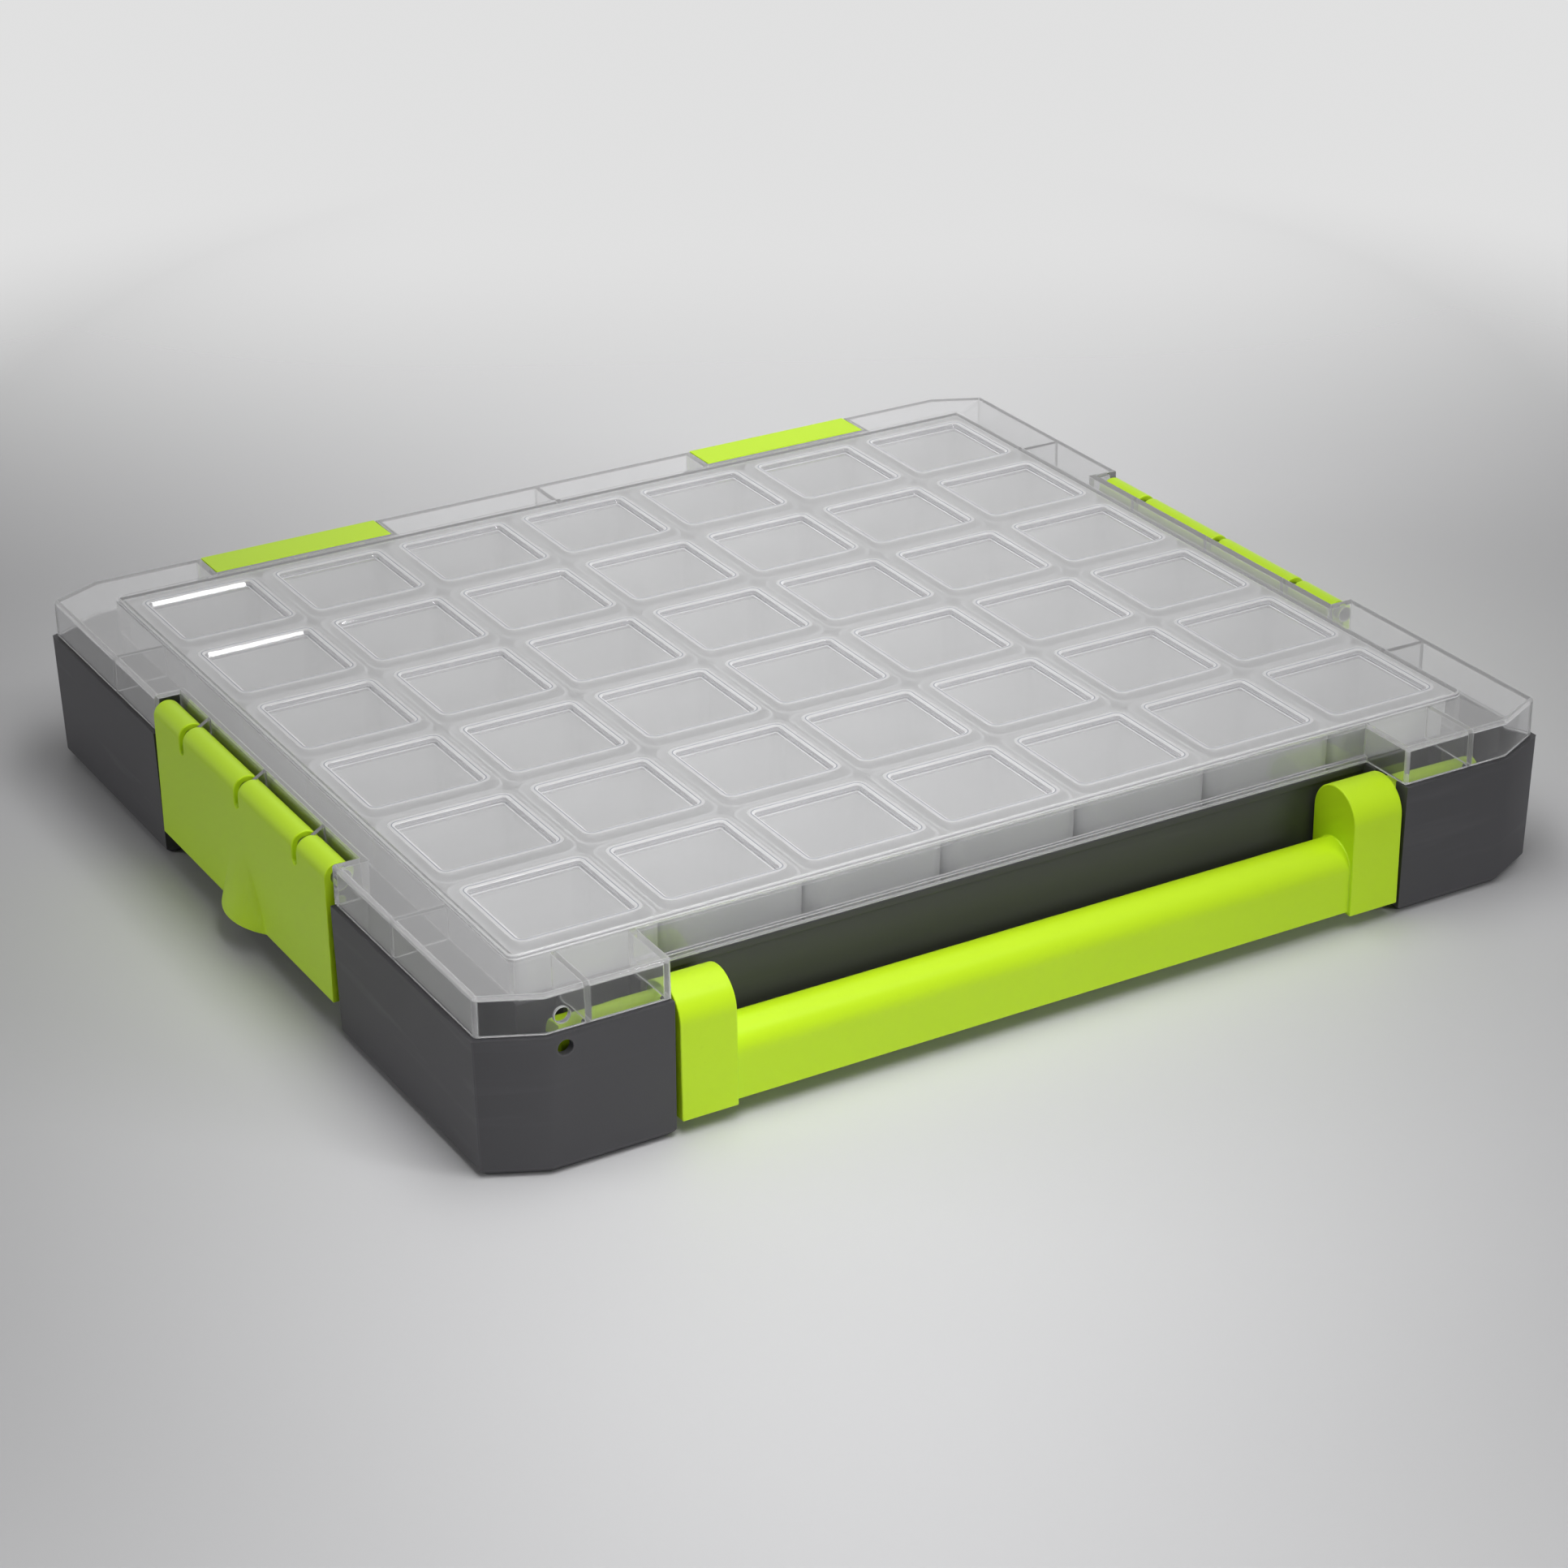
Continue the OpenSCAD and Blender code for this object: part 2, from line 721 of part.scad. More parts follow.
module hinge_pin(x) {
    color(steel) rod_along_x(x - hinge_w / 2, x + hinge_w / 2, pin_y, pin_z, pin_r);
}

// Cup: thin tapered box with round corners, open at the top.
module cup(row, col) {
    color(milky)
        translate([cup_x(col), cup_y(row), floor_t])
            difference() {
                drafted_box(cup_w, cup_d, cup_h, cup_r, cup_draft);
                translate([0, 0, cup_wall])
                    drafted_box(cup_w - 2 * cup_wall, cup_d - 2 * cup_wall, cup_h,
                        cup_r - cup_wall, cup_draft);
            }
}

base_shell();
lid();
latch_left();
latch_right();
handle();
hinge_left();
hinge_right();
hinge_pin(-hinge_x);  // hinge_pin_left
hinge_pin(hinge_x);  // hinge_pin_right
for (row = [1:cup_rows]) for (col = [1:cup_cols])
    cup(row, col);
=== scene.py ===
"""Looks of the flat tackle case: rounded edges, moulded plastics, light and camera."""

import json
import math

import bmesh
import bpy
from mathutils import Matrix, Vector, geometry


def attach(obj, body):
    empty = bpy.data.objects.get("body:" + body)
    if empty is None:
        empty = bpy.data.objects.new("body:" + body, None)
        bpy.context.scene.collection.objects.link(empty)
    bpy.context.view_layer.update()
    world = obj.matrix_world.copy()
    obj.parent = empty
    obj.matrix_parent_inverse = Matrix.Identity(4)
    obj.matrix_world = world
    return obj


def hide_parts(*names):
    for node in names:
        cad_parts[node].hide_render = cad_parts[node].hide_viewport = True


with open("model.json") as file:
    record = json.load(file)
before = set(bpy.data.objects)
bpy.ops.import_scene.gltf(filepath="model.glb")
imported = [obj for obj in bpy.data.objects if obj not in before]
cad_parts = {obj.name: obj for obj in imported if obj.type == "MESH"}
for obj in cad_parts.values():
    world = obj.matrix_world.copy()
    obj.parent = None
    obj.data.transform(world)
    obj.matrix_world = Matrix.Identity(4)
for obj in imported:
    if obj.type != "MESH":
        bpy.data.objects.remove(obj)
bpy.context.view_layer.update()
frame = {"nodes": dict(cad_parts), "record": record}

# How a mesh is read: what counts as one corner, flat, sharp, smooth, many-sided or one run of edges
MERGE = 0.000001
FLAT_ANGLE = math.radians(0.3)
SHARP_ANGLE = math.radians(34)
SMOOTH_ANGLE = math.radians(32)
MANY_SIDES = 90
SAME_WAY = 0.5

# Room beside an edge: the share that its rounding may use, and how far room is looked for, in widths
ROOM_USED = 0.42
ROOM_REACH = 2.5

# Widths of rounded edges, in metres
SHELL_EDGE = 0.0005
LID_EDGE = 0.0012
PAD_EDGE = 0.0006
PLAIN_EDGE = 0.00035
LIME_EDGE = 0.0005
HINGE_EDGE = 0.0003
CUP_EDGE = 0.0003

# Lid, in metres: its outline, its raised field, and the pads over the cups
OUTLINE_SIDE = 0.1980
OUTLINE_FRONT = 0.1800
CUT_SIDE = 0.1800
CUT_FRONT = 0.1710
BORDER_TOP = 0.0615
FIELD_TOP = 0.0630
FIELD_SIDE = 0.1795
FIELD_FRONT = -0.1577
FIELD_BACK = 0.1601
FIELD_UNDER = 0.0588
PAD_FLOOR = 0.0610
PAD_HALF_X = 0.0193
PAD_HALF_Y = 0.0183
CUP_PITCH_X = 0.0506
CUP_PITCH_Y = 0.0520
CUP_MIDDLE_Y = -0.0001
PAD_RIM_X = 0.0200
PAD_RIM_Y = 0.0190
PAD_RIM_ROUND = 0.0020

# Reading of the lid's edges, in metres: how near counts as there, and how tall counts as upright
NEAR = 0.0001
UPRIGHT = 0.006

# How far a face's direction points up: 1 for a level face on top, -1 for one below
FACES_UP = 0.9
FACES_DOWN = -0.1

# Places of the lid's finishes
CLEAR_EDGES = 1
CLEAR_BORDER = 2
CLEAR_RIBS = 3
CLEAR_PADS = 4
CLEAR_RIMS = 5
CLEAR_SLOPES = 6
MATT_UNDERSIDE = 7

# Lines painted on the lid's ribs around each pad, a grey line of painted shade and a white line of painted
# highlight: where each one ends, from the pad's rim, its tone and its haze
PAINTED_SHADE_LINE = (0.0008, 0.0012)
PAINTED_HIGHLIGHT_LINE = (0.0018, 0.0025)
PAINTED_SHADE_TONE = (0.24, 0.25, 0.30, 1.0)
PAINTED_HIGHLIGHT_TONE = (0.85, 0.85, 0.86, 1.0)
PAINTED_SHADE_HAZE = 0.45
PAINTED_HIGHLIGHT_HAZE = 0.20

# Tones, and how strongly the clear plastics bend light
CHARCOAL = (0.049, 0.048, 0.052)
LIME = (0.480, 0.725, 0.008)
CLEAR_DULL = (0.94, 0.94, 0.945, 1.0)
CLEAR_BRIGHT = (0.98, 0.98, 0.985, 1.0)
CUP_DULL = (0.68, 0.685, 0.69, 1.0)
CUP_BRIGHT = (0.76, 0.765, 0.77, 1.0)
STEEL_DARK = (0.50, 0.51, 0.53, 1.0)
STEEL_PALE = (0.68, 0.69, 0.71, 1.0)
PAPER_DULL = (0.57, 0.57, 0.58, 1.0)
PAPER_BRIGHT = (0.60, 0.60, 0.61, 1.0)
CLEAR_IOR = 1.5
CUP_IOR = 1.49

# Floor: its size, and where it fades into the backdrop, from the middle of the case
FLOOR_SIZE = 12.0
FADE_START = 0.38
FADE_END = 0.78

# Where it fades behind the case: how far back, and how far to each side of that way
BACK_WAY = (0.494, 0.869, 0.0)
SIDE_WAY = (0.869, -0.494, 0.0)
BACK_START = 0.18
BACK_END = 0.65
SIDE_START = 0.15
SIDE_END = 0.75

# Strength of the world as light, and as it is seen
WORLD_LIGHT = 0.08
WORLD_SEEN = 0.75

# Camera, solved from the outline of the case in the photo
CAMERA_PLACE = (-0.6031, -1.0594, 0.6041)
CAMERA_TURN = (63.954, 0.671, -30.197)
CAMERA_LENS = 87.87
CAMERA_SENSOR = 36


class Value:
    """An output of a material's node, with the sums that an expression may hold."""

    def __init__(self, finish, out):
        self.finish = finish
        self.out = out

    def sum(self, operation, first, second):
        """The outcome of one operation on two values or numbers."""
        return self.finish.node("ShaderNodeMath", {"operation": operation}, {0: first, 1: second})

    def most(self, other):
        return self.sum("MAXIMUM", self, other)

    def folded(self, half):
        """The distance from the nearest multiple of twice the half."""
        return self.sum("PINGPONG", self, half)

    def __add__(self, other):
        return self.sum("ADD", self, other)

    def __radd__(self, other):
        return self.sum("ADD", other, self)

    def __sub__(self, other):
        return self.sum("SUBTRACT", self, other)

    def __rsub__(self, other):
        return self.sum("SUBTRACT", other, self)

    def __mul__(self, other):
        return self.sum("MULTIPLY", self, other)

    def __rmul__(self, other):
        return self.sum("MULTIPLY", other, self)

    def __pow__(self, other):
        return self.sum("POWER", self, other)


class Finish:
    """A material and the one method that adds a node to it."""

    def __init__(self, name):
        self.material = bpy.data.materials.new(name)
        self.material.use_nodes = True
        self.tree = self.material.node_tree
        self.tree.nodes.clear()

    def node(self, kind, settings=None, inputs=None, output=0):
        """A node of this kind: its settings first, then the values or links of its sockets."""
        made = self.tree.nodes.new(kind)
        for key, value in (settings or {}).items():
            if key == "stops":
                for stop, (place, level) in zip(made.color_ramp.elements, value):
                    stop.position = place
                    stop.color = (level, level, level, 1)
            else:
                setattr(made, key, value)
        for key, value in (inputs or {}).items():
            if isinstance(value, Value):
                self.tree.links.new(value.out, made.inputs[key])
            else:
                made.inputs[key].default_value = value
        return Value(self, made.outputs[output]) if made.outputs else None

    def place(self):
        return self.node("ShaderNodeTexCoord", output="Object")

    def stretched(self, scale):
        """Object coordinates with each axis scaled by itself."""
        return self.node("ShaderNodeMapping", None, {"Vector": self.place(), "Scale": scale})

    def noise(self, where, scale, detail=2.0):
        return self.node("ShaderNodeTexNoise", None, {"Vector": where, "Scale": scale, "Detail": detail})

    def between(self, value, low, high):
        """The value as a share from 0 at low to 1 at high."""
        return self.node("ShaderNodeValToRGB", {"stops": [(low, 0.0), (high, 1.0)]}, {"Fac": value})

    def eased(self, value, low, high):
        """As between, with soft ends, for values of any size."""
        return self.node("ShaderNodeMapRange", {"interpolation_type": "SMOOTHSTEP"}, {
            "Value": value, "From Min": low, "From Max": high})

    def along(self, where, way):
        """How far a place lies along a direction."""
        return self.node("ShaderNodeVectorMath", {"operation": "DOT_PRODUCT"}, {
            0: where, 1: way}, output="Value")

    def colours(self, share, first, second):
        return self.node("ShaderNodeMix", {"data_type": "RGBA"}, {
            "Factor": share, 6: first, 7: second}, output=2)

    def bump(self, height, strength, distance):
        return self.node("ShaderNodeBump", None, {
            "Height": height, "Strength": strength, "Distance": distance})

    def body(self, **inputs):
        named = {key.replace("_", " "): value for key, value in inputs.items()}
        return self.node("ShaderNodeBsdfPrincipled", None, named)

    def mixed(self, share, first, second):
        return self.node("ShaderNodeMixShader", None, {0: share, 1: first, 2: second})

    def ended(self, body):
        self.node("ShaderNodeOutputMaterial", None, {"Surface": body})
        return self.material

    def shader(self, **inputs):
        return self.ended(self.body(**inputs))


def shade(colour, share):
    """The colour made lighter or darker, opaque."""
    return tuple(min(part * share, 1.0) for part in colour[:3]) + (1.0,)


def charcoal(name, wear_and_highlight_lift):
    """Fine-grained charcoal moulding. The lift makes the rounded edges paler: partly wear from handling,
    partly a painted highlight along them.
    """
    finish = Finish(name)
    where = finish.place()
    cloud = finish.noise(where, scale=9.0, detail=3.0)
    grain = finish.noise(where, scale=1500.0)
    streaks = finish.noise(finish.stretched((14.0, 14.0, 160.0)), scale=1.0, detail=4.0)
    rub = finish.between(streaks, low=0.58, high=0.80)
    base = finish.colours(cloud, shade(CHARCOAL, 0.86 * wear_and_highlight_lift), shade(CHARCOAL, 1.14 * wear_and_highlight_lift))
    return finish.shader(
        Base_Color=finish.colours(rub * 0.16, base, shade(CHARCOAL, 2.0)),
        Roughness=0.46 + 0.10 * cloud - 0.08 * rub,
        Normal=finish.bump(grain, strength=0.10, distance=0.0002))


def lime(name, wear_and_highlight_lift):
    """Satin lime moulding with a trace of flow in its colour. The lift makes the rounded edges paler:
    partly wear, partly a painted highlight along them.
    """
    finish = Finish(name)
    where = finish.place()
    flow = finish.noise(finish.stretched((6.0, 6.0, 22.0)), scale=1.0, detail=3.0)
    grain = finish.noise(where, scale=1100.0)
    spots = finish.between(finish.noise(where, scale=420.0, detail=1.0), low=0.70, high=0.80)
    base = finish.colours(flow, shade(LIME, 0.93 * wear_and_highlight_lift), shade(LIME, 1.05 * wear_and_highlight_lift))
    return finish.shader(
        Base_Color=finish.colours(spots * 0.08, base, shade(LIME, 0.70)),
        Roughness=0.36 + 0.10 * flow,
        Normal=finish.bump(grain, strength=0.05, distance=0.0002))


def pad_gap(finish, where):
    """How far a place on the lid's ribs lies from the rim of the nearest pad."""
    x = finish.node("ShaderNodeSeparateXYZ", None, {0: where}, output="X")
    y = finish.node("ShaderNodeSeparateXYZ", None, {0: where}, output="Y")
    y = y - (CUP_MIDDLE_Y - CUP_PITCH_Y / 2)
    across = (x.folded(CUP_PITCH_X / 2) - (PAD_RIM_X - PAD_RIM_ROUND)).most(0.0)
    along = (y.folded(CUP_PITCH_Y / 2) - (PAD_RIM_Y - PAD_RIM_ROUND)).most(0.0)
    return (across * across + along * along) ** 0.5 - PAD_RIM_ROUND


def clear(name, tone, rough, haze, slant, passes, painted_lines=False):
    """Clear moulding with a pale veil on it. Haze is how much the veil shows straight on, slant how
    much more it shows aslant, and passes the share of the lamps' light that goes straight through.
    Painted lines are for the ribs: a grey line of painted shade and a white line of painted highlight
    around each pad."""
    finish = Finish(name)
    where = finish.place()
    cloud = finish.noise(where, scale=16.0, detail=4.0)
    veil_tone = finish.colours(cloud, shade(tone, 0.95), shade(tone, 1.05))
    if painted_lines:
        # Painted shade: a grey line next to each pad's rim; painted highlight: a white line just beyond it.
        gap = pad_gap(finish, where)
        painted_shade_line = 1.0 - finish.eased(gap, *PAINTED_SHADE_LINE)
        painted_highlight_line = finish.eased(gap, *PAINTED_SHADE_LINE) * (1.0 - finish.eased(gap, *PAINTED_HIGHLIGHT_LINE))
        veil_tone = finish.colours(painted_shade_line, finish.colours(painted_highlight_line, veil_tone, PAINTED_HIGHLIGHT_TONE), PAINTED_SHADE_TONE)
        haze = haze + PAINTED_SHADE_HAZE * painted_shade_line + PAINTED_HIGHLIGHT_HAZE * painted_highlight_line
    glass = finish.body(
        Base_Color=finish.colours(cloud, CLEAR_DULL, CLEAR_BRIGHT),
        Roughness=rough + 0.02 * cloud,
        IOR=CLEAR_IOR,
        Transmission_Weight=1.0)
    veil = finish.body(
        Base_Color=veil_tone,
        Roughness=rough + 0.02 * cloud,
        IOR=CLEAR_IOR)
    aslant = finish.node("ShaderNodeLayerWeight", None, {"Blend": 0.5}, output="Facing")
    share = haze + slant * aslant ** 2.0
    open_way = finish.node("ShaderNodeBsdfTransparent", None, {"Color": (passes, passes, passes, 1.0)})
    from_lamp = finish.node("ShaderNodeLightPath", output="Is Shadow Ray")
    return finish.ended(finish.mixed(from_lamp, finish.mixed(share, glass, veil), open_way))


def milky(name):
    """Milky cup plastic, denser where it is seen aslant."""
    finish = Finish(name)
    where = finish.place()
    cloud = finish.noise(where, scale=30.0, detail=3.0)
    aslant = finish.node("ShaderNodeLayerWeight", None, {"Blend": 0.5}, output="Facing")
    return finish.shader(
        Base_Color=finish.colours(cloud, CUP_DULL, CUP_BRIGHT),
        Roughness=0.30 + 0.12 * cloud,
        Alpha=0.58 + 0.32 * aslant ** 2.0 + 0.06 * cloud,
        IOR=CUP_IOR)


def drawn_steel(name):
    """Steel with fine lines along the pin."""
    finish = Finish(name)
    lines = finish.noise(finish.stretched((20.0, 2600.0, 2600.0)), scale=1.0, detail=3.0)
    return finish.shader(
        Base_Color=finish.colours(lines, STEEL_DARK, STEEL_PALE),
        Metallic=1.0,
        Roughness=0.26 + 0.14 * lines,
        Normal=finish.bump(lines, strength=0.06, distance=0.0001))


def floor_paper(name):
    """Pale paper that fades into the backdrop away from the case."""
    finish = Finish(name)
    where = finish.place()
    cloud = finish.noise(where, scale=3.0)
    paper = finish.body(Base_Color=finish.colours(cloud, PAPER_DULL, PAPER_BRIGHT), Roughness=0.55)
    distance = finish.node("ShaderNodeVectorMath", {"operation": "LENGTH"}, {0: where}, output="Value")
    behind = finish.eased(finish.along(where, BACK_WAY), BACK_START, BACK_END)
    aside = finish.along(where, SIDE_WAY)
    between_sides = 1.0 - finish.eased(aside.most(-1.0 * aside), SIDE_START, SIDE_END)
    far = finish.eased(distance, FADE_START, FADE_END)
    share = far.most(behind * between_sides)
    return finish.ended(finish.mixed(share, paper, finish.node("ShaderNodeBsdfTransparent")))


def only(piece):
    """Makes the piece the one that the next operators act on."""
    bpy.ops.object.select_all(action="DESELECT")
    piece.select_set(True)
    bpy.context.view_layer.objects.active = piece


def body_of(node):
    bodies = frame["record"]["behaviour"]["bodies"]
    return next(body for body, members in bodies.items() if node in members)


def flat_areas(shape):
    """The number of the flat area that each face of a mesh is part of."""
    areas = {}
    for first in shape.faces:
        waiting = [] if first in areas else [first]
        while waiting:
            face = waiting.pop()
            areas[face] = first.index
            for side in face.edges:
                if side.is_manifold and side.calc_face_angle() < FLAT_ANGLE:
                    waiting += [near for near in side.link_faces if near not in areas]
    return areas


def point_gap(point, start, end):
    """Distance of a point from a straight side."""
    nearest, share = geometry.intersect_point_line(point, start, end)
    if share < 0:
        nearest = start
    if share > 1:
        nearest = end
    return (point - nearest).length


def side_gap(first, second):
    """Distance between two straight sides of one flat area."""
    (a, b), (c, d) = first, second
    return min(point_gap(a, c, d), point_gap(b, c, d), point_gap(c, a, b), point_gap(d, a, b))


def sharp_sides(shape):
    """The sharp sides of each flat area, sorted by where they begin from left to right."""
    areas = flat_areas(shape)
    sides = {}
    for edge in shape.edges:
        if edge.is_manifold and edge.calc_face_angle() > SHARP_ANGLE:
            for loop in edge.link_loops:
                line = (loop.vert.co, loop.link_loop_next.vert.co)
                side = (min(line[0].x, line[1].x), edge.index, edge, line)
                sides.setdefault(areas[loop.face], []).append(side)
    return [sorted(area, key=lambda side: side[:2]) for area in sides.values()]


def even_out(room, joined):
    """Gives edges that run on into each other the same room, the least that any of them has."""
    uneven = True
    while uneven:
        uneven = False
        for edge, other in joined:
            if room[edge] != room[other]:
                room[edge] = room[other] = min(room[edge], room[other])
                uneven = True


def edge_room(shape, reach):
    """Room beside each sharp edge: how far off the next sharp edge across a flat area is, up to reach."""
    room = {}
    joined = []
    for area in sharp_sides(shape):
        for place, (_, _, edge, line) in enumerate(area):
            last = max(line[0].x, line[1].x) + reach
            room.setdefault(edge, reach)
            for low, _, other, other_line in area[place + 1:]:
                if low > last:
                    break
                room.setdefault(other, reach)
                turn = (line[1] - line[0]).normalized().dot((other_line[1] - other_line[0]).normalized())
                if set(edge.verts) & set(other.verts):
                    if turn > SAME_WAY:
                        joined.append((edge, other))
                    else:
                        room[edge] = min(room[edge], other.calc_length())
                        room[other] = min(room[other], edge.calc_length())
                elif turn < SAME_WAY:
                    gap = side_gap(line, other_line)
                    room[edge] = min(room[edge], gap)
                    room[other] = min(room[other], gap)
    even_out(room, joined)
    return room


def weigh_edges(mesh, width, share):
    """Marks each sharp edge with the part of the width that it is rounded by, where there is room."""
    shape = bmesh.new()
    shape.from_mesh(mesh)
    weights = shape.edges.layers.float.new("bevel_weight_edge")
    for edge, room in edge_room(shape, ROOM_REACH * width).items():
        start, end = (corner.co for corner in edge.verts)
        full = share(start, end) if share else 1.0
        edge[weights] = min(full, ROOM_USED * room / width)
    shape.to_mesh(mesh)
    shape.free()


def merged_copy(node):
    """A copy of a CAD node with merged corners and whole flat faces, those with many sides in triangles."""
    piece = bpy.data.objects.new(node + "_moulded", frame["nodes"][node].data.copy())
    bpy.context.scene.collection.objects.link(piece)
    only(piece)
    bpy.ops.object.mode_set(mode="EDIT")
    bpy.ops.mesh.select_all(action="SELECT")
    bpy.ops.mesh.remove_doubles(threshold=MERGE)
    bpy.ops.mesh.dissolve_limited(angle_limit=FLAT_ANGLE)
    bpy.ops.mesh.select_all(action="DESELECT")
    bpy.ops.mesh.select_mode(type="FACE")
    bpy.ops.mesh.select_face_by_sides(number=MANY_SIDES, type="GREATER")
    bpy.ops.mesh.quads_convert_to_tris(ngon_method="BEAUTY")
    bpy.ops.mesh.beautify_fill(angle_limit=FLAT_ANGLE)
    bpy.ops.object.mode_set(mode="OBJECT")
    return piece


def round_edges(piece, edge, segments):
    """Rounds the edges by their weights, with the second finish on them and flat faces kept flat."""
    bevel = piece.modifiers.new("rounded_edges", "BEVEL")
    bevel.width = edge
    bevel.segments = segments
    bevel.limit_method = "WEIGHT"
    bevel.use_clamp_overlap = False
    bevel.loop_slide = False
    bevel.material = 1
    bpy.ops.object.modifier_apply(modifier=bevel.name)
    bpy.ops.object.mode_set(mode="EDIT")
    bpy.ops.mesh.select_all(action="SELECT")
    bpy.ops.mesh.dissolve_limited(angle_limit=FLAT_ANGLE, delimit={"MATERIAL"})
    bpy.ops.object.mode_set(mode="OBJECT")
    bpy.ops.object.shade_smooth_by_angle(angle=SMOOTH_ANGLE)
    weighted = piece.modifiers.new("flat_faces", "WEIGHTED_NORMAL")
    weighted.keep_sharp = True
    bpy.ops.object.modifier_apply(modifier=weighted.name)


def moulded(node, edge, segments, face, rounded, share=None):
    """A merged copy of a CAD node with rounded edges, which stands for the node. Share gives the part
    of the full width that an edge between two points is rounded by."""
    piece = merged_copy(node)
    weigh_edges(piece.data, edge, share)
    piece.data.materials.clear()
    piece.data.materials.append(face)
    piece.data.materials.append(rounded)
    for flat in piece.data.polygons:
        flat.material_index = 0
    round_edges(piece, edge, segments)
    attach(piece, body_of(node))
    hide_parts(node)
    return piece


def in_field(x, y, z):
    return abs(x) < FIELD_SIDE and FIELD_FRONT < y < FIELD_BACK and z > FIELD_UNDER


def lid_share(start, end):
    """Part of the full rounding for an edge of the lid: the outline, the pads or the rest."""
    x, y, z = (start + end) / 2
    cut_off = abs(x) > CUT_SIDE and abs(y) > CUT_FRONT
    upright = abs(start.z - end.z) > UPRIGHT
    outside = abs(x) > OUTLINE_SIDE or abs(y) > OUTLINE_FRONT or cut_off
    if outside and (upright or abs(z - BORDER_TOP) < NEAR):
        return 1.0
    across = (x + CUP_PITCH_X / 2) % CUP_PITCH_X - CUP_PITCH_X / 2
    along = (y - CUP_MIDDLE_Y) % CUP_PITCH_Y - CUP_PITCH_Y / 2
    on_pad = abs(z - PAD_FLOOR) < NEAR and abs(across) < PAD_HALF_X and abs(along) < PAD_HALF_Y
    if in_field(x, y, z) and (abs(z - FIELD_TOP) < NEAR or on_pad):
        return PAD_EDGE / LID_EDGE
    return PLAIN_EDGE / LID_EDGE


def lid_part(face):
    """Which of the lid's finishes a face takes."""
    x, y, z = face.center
    if not in_field(x, y, z):
        on_top = face.material_index != CLEAR_EDGES and face.normal.z > FACES_UP and z > BORDER_TOP - NEAR
        return CLEAR_BORDER if on_top else face.material_index
    if face.normal.z < FACES_DOWN:
        return MATT_UNDERSIDE if z > PAD_FLOOR - NEAR else CLEAR_PADS
    if face.material_index == CLEAR_EDGES:
        return CLEAR_RIMS
    if face.normal.z < FACES_UP:
        return CLEAR_SLOPES
    return CLEAR_RIBS if z > FIELD_TOP - NEAR else CLEAR_PADS


def dress_lid():
    """The clear lid: walls and edges, a hazier field with its pads, ribs that are matt below."""
    walls = clear("clear_walls", (0.72, 0.72, 0.725), rough=0.04, haze=0.0, slant=0.65, passes=0.35)
    # The edges' veil is hazier than the walls', a painted highlight along the lid's rounded edges.
    edges = clear("clear_edges", (0.75, 0.75, 0.755), rough=0.06, haze=0.28, slant=0.40, passes=0.60)
    lid = moulded("lid", LID_EDGE, 3, walls, edges, lid_share)
    for finish in (
            clear("clear_border", (0.65, 0.65, 0.655), rough=0.04, haze=0.10, slant=0.25, passes=0.50),
            # The ribs carry the painted shade and painted highlight lines around each pad.
            clear("clear_ribs", (0.68, 0.68, 0.685), rough=0.05, haze=0.12, slant=0.25, passes=0.75,
                  painted_lines=True),
            clear("clear_pads", (0.62, 0.62, 0.625), rough=0.03, haze=0.26, slant=0.25, passes=0.85),
            # The rims' veil is whiter and hazier, a painted highlight along each pad's rounded rim; the
            # slopes' veil is darker and bluer, painted shade on the pads' slopes.
            clear("clear_rims", (0.90, 0.90, 0.910), rough=0.05, haze=0.40, slant=0.30, passes=0.80),
            clear("clear_slopes", (0.55, 0.55, 0.580), rough=0.03, haze=0.25, slant=0.25, passes=0.80),
            clear("matt_underside", (0.56, 0.56, 0.565), rough=0.35, haze=0.22, slant=0.20, passes=0.80)):
        lid.data.materials.append(finish)
    for face in lid.data.polygons:
        face.material_index = lid_part(face)


def dress_case():
    """Gives every node its rounded edges and its finish."""
    # The edge finishes are paler than the faces: partly wear, partly a painted highlight along the rounded
    # edges.
    lime_face = lime("lime_moulding", wear_and_highlight_lift=1.0)
    lime_round = lime("lime_edges", wear_and_highlight_lift=1.04)
    cup_plastic = milky("milky_cup")
    steel = drawn_steel("drawn_steel")
    moulded("base_shell", SHELL_EDGE, 2,
            charcoal("charcoal_moulding", wear_and_highlight_lift=1.0), charcoal("charcoal_edges", wear_and_highlight_lift=1.25))
    dress_lid()
    for node in ("latch_left", "latch_right", "handle"):
        moulded(node, LIME_EDGE, 3, lime_face, lime_round)
    for node in ("hinge_left", "hinge_right"):
        moulded(node, HINGE_EDGE, 2, lime_face, lime_round)
    for node in frame["nodes"]:
        if node.startswith("cup_"):
            moulded(node, CUP_EDGE, 1, cup_plastic, cup_plastic)
        if node.startswith("hinge_pin"):
            moulded(node, HINGE_EDGE, 2, steel, steel)


def pale_floor():
    bpy.ops.object.select_all(action="DESELECT")
    bpy.ops.mesh.primitive_plane_add(size=FLOOR_SIZE, location=(0, 0, 0))
    floor = bpy.context.object
    floor.name = "floor"
    floor.data.materials.append(floor_paper("floor_paper"))


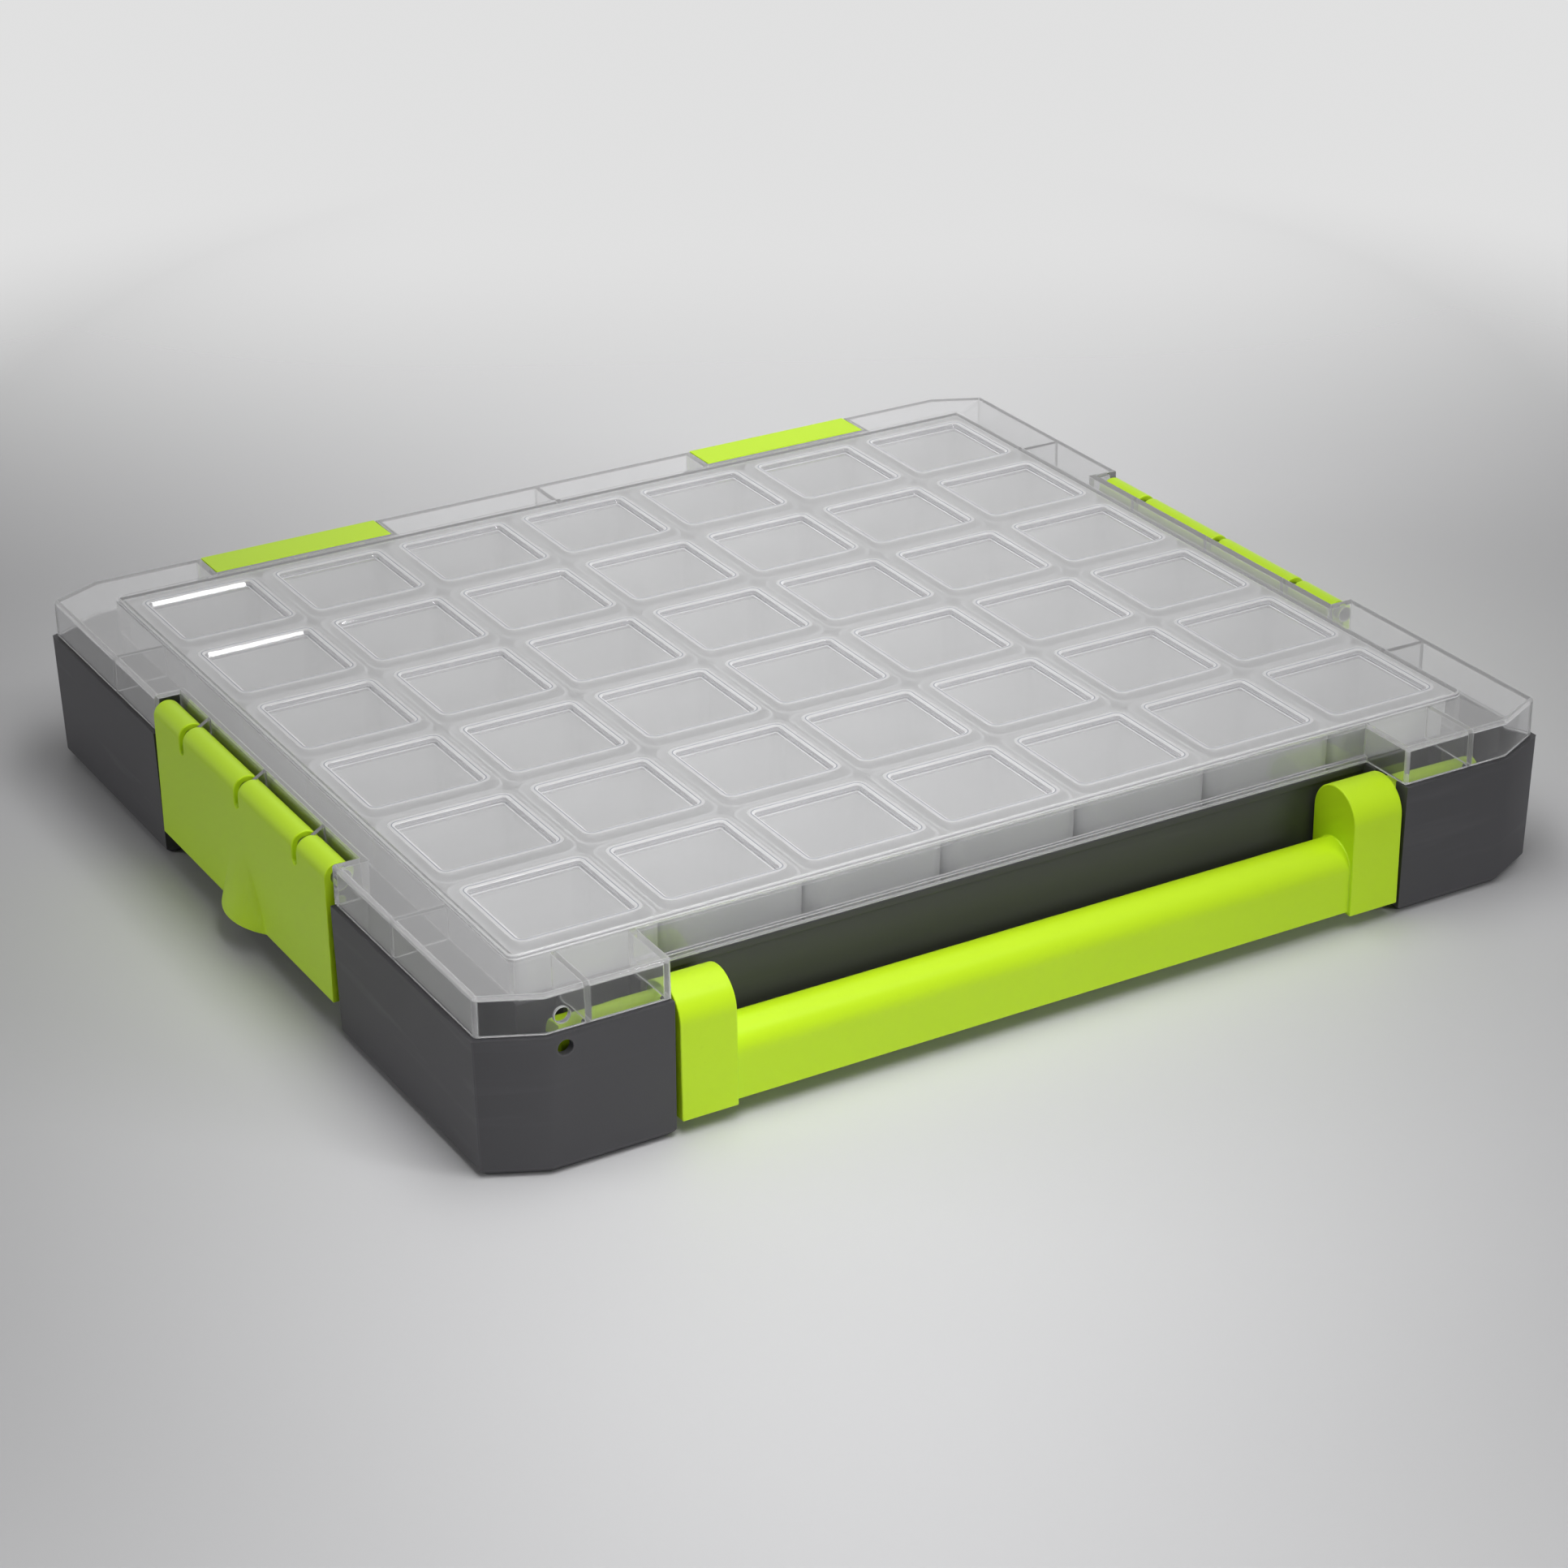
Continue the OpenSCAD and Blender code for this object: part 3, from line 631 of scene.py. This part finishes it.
def soft_lamp(name, place, aim, wide, tall, power, spread=180, mirrored=False):
    """A soft lamp at place, turned towards aim. Only a lamp that is mirrored shows in gloss."""
    bpy.ops.object.light_add(type="AREA", location=place)
    lamp = bpy.context.object
    lamp.name = name
    lamp.data.shape = "RECTANGLE"
    lamp.data.size = wide
    lamp.data.size_y = tall
    lamp.data.energy = power
    lamp.data.spread = math.radians(spread)
    towards = (aim[0] - place[0], aim[1] - place[1], aim[2] - place[2])
    lamp.rotation_euler = Vector(towards).to_track_quat("-Z", "Y").to_euler()
    lamp.visible_transmission = False
    lamp.visible_glossy = mirrored


def pale_world():
    """A dim world that shows pale to the camera, in gloss and through glass."""
    world = bpy.data.worlds.new("studio")
    world.use_nodes = True
    bpy.context.scene.world = world
    nodes, links = world.node_tree.nodes, world.node_tree.links
    path = nodes.new("ShaderNodeLightPath")
    seen = path.outputs["Is Camera Ray"]
    for ray in ("Is Glossy Ray", "Is Transmission Ray"):
        either = nodes.new("ShaderNodeMath")
        either.operation = "MAXIMUM"
        links.new(seen, either.inputs[0])
        links.new(path.outputs[ray], either.inputs[1])
        seen = either.outputs[0]
    level = nodes.new("ShaderNodeMapRange")
    level.inputs["To Min"].default_value = WORLD_LIGHT
    level.inputs["To Max"].default_value = WORLD_SEEN
    links.new(seen, level.inputs["Value"])
    backdrop = nodes["Background"]
    backdrop.inputs["Color"].default_value = (1.0, 1.0, 1.0, 1.0)
    links.new(level.outputs["Result"], backdrop.inputs["Strength"])


def studio_lamps():
    """A strip above the case, a lamp for its left side, one for its front and a small one for glints."""
    soft_lamp("overhead", place=(0.03, 0.015, 0.60), aim=(0.08, 0.103, 0.0),
              wide=0.18, tall=1.4, power=2.1, spread=90)
    soft_lamp("left", place=(-2.60, 1.25, 0.60), aim=(-0.20, 0.0, 0.03),
              wide=1.1, tall=0.8, power=21)
    soft_lamp("front", place=(1.45, -2.50, 0.70), aim=(0.0, -0.18, 0.03),
              wide=1.1, tall=0.8, power=29)
    soft_lamp("glint", place=(0.25, -0.66, 0.95), aim=(-0.15, 0.14, 0.06),
              wide=0.12, tall=0.12, power=1.0, mirrored=True)


def photo_camera():
    bpy.ops.object.camera_add(location=CAMERA_PLACE)
    camera = bpy.context.object
    camera.rotation_euler = [math.radians(turn) for turn in CAMERA_TURN]
    camera.data.lens = CAMERA_LENS
    camera.data.sensor_width = CAMERA_SENSOR
    bpy.context.scene.camera = camera


dress_case()
pale_floor()
pale_world()
studio_lamps()
photo_camera()
bpy.context.scene.view_settings.view_transform = "Standard"
